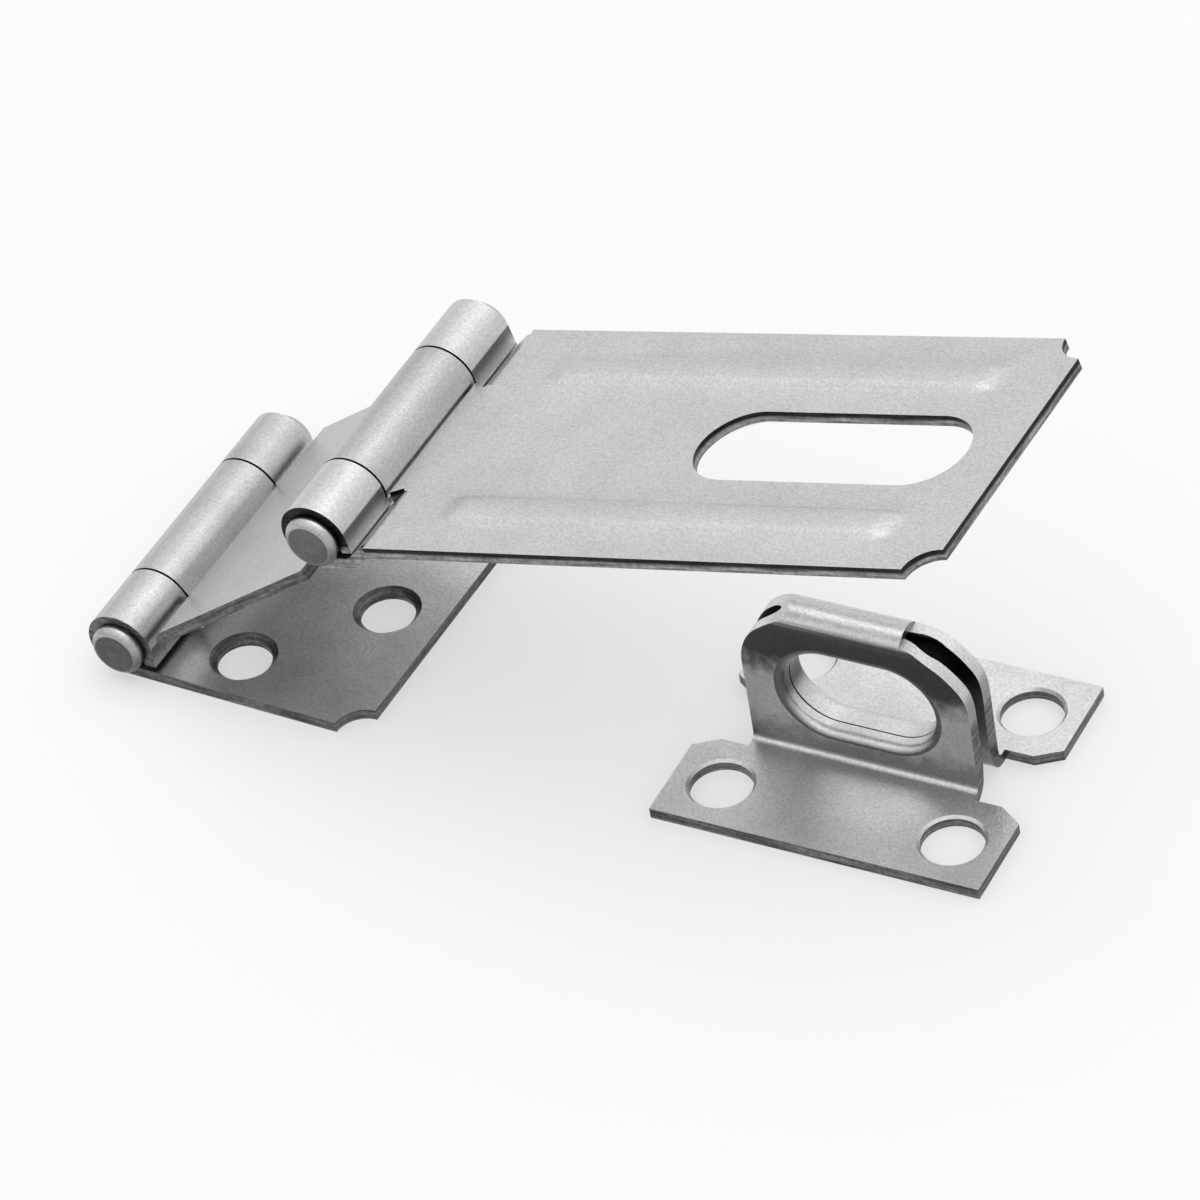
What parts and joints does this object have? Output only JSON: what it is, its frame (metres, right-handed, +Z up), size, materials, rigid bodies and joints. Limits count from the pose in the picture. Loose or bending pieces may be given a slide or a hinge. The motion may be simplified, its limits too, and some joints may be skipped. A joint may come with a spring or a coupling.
{
  "type": "safety hasp",
  "caption": "Sheet steel safety hasp with a double hinge: screw-on leaf, link and slotted hasp leaf with stamped ribs, and a folded staple with a padlock loop.",
  "frame": {"origin": "on the underside of the fixed leaf, halfway across it and 16 mm from the lower pin's axis", "axes": "+Z up out of the surface that the fixed leaf and the staple stand on, +X from the hinges towards the staple, +Y along the hinge barrels"},
  "size_m": [0.1351, 0.048, 0.0602],
  "materials": {
    "zinc_sheet": "zinc plated sheet, satin",
    "zinc_pin": "zinc plated pin, satin"
  },
  "bodies": {
    "base": {"fixed_leaf": "zinc_sheet", "lower_hinge_pin": "zinc_pin", "staple": "zinc_sheet"},
    "link": {"link_leaf": "zinc_sheet"},
    "hasp": {"hasp_leaf": "zinc_sheet", "upper_hinge_pin": "zinc_pin"}
  },
  "joints": [
    {"name": "lower_hinge", "type": "hinge", "parent": "base", "child": "link", "pos_m": [-0.016, 0, 0.00505], "axis": [0, -1, 0], "range_deg": [-6, 138]},
    {"name": "upper_hinge", "type": "hinge", "parent": "link", "child": "hasp", "pos_m": [0.02046, 0, 0.03593], "axis": [0, -1, 0], "range_deg": [-20, 197]}
  ]
}
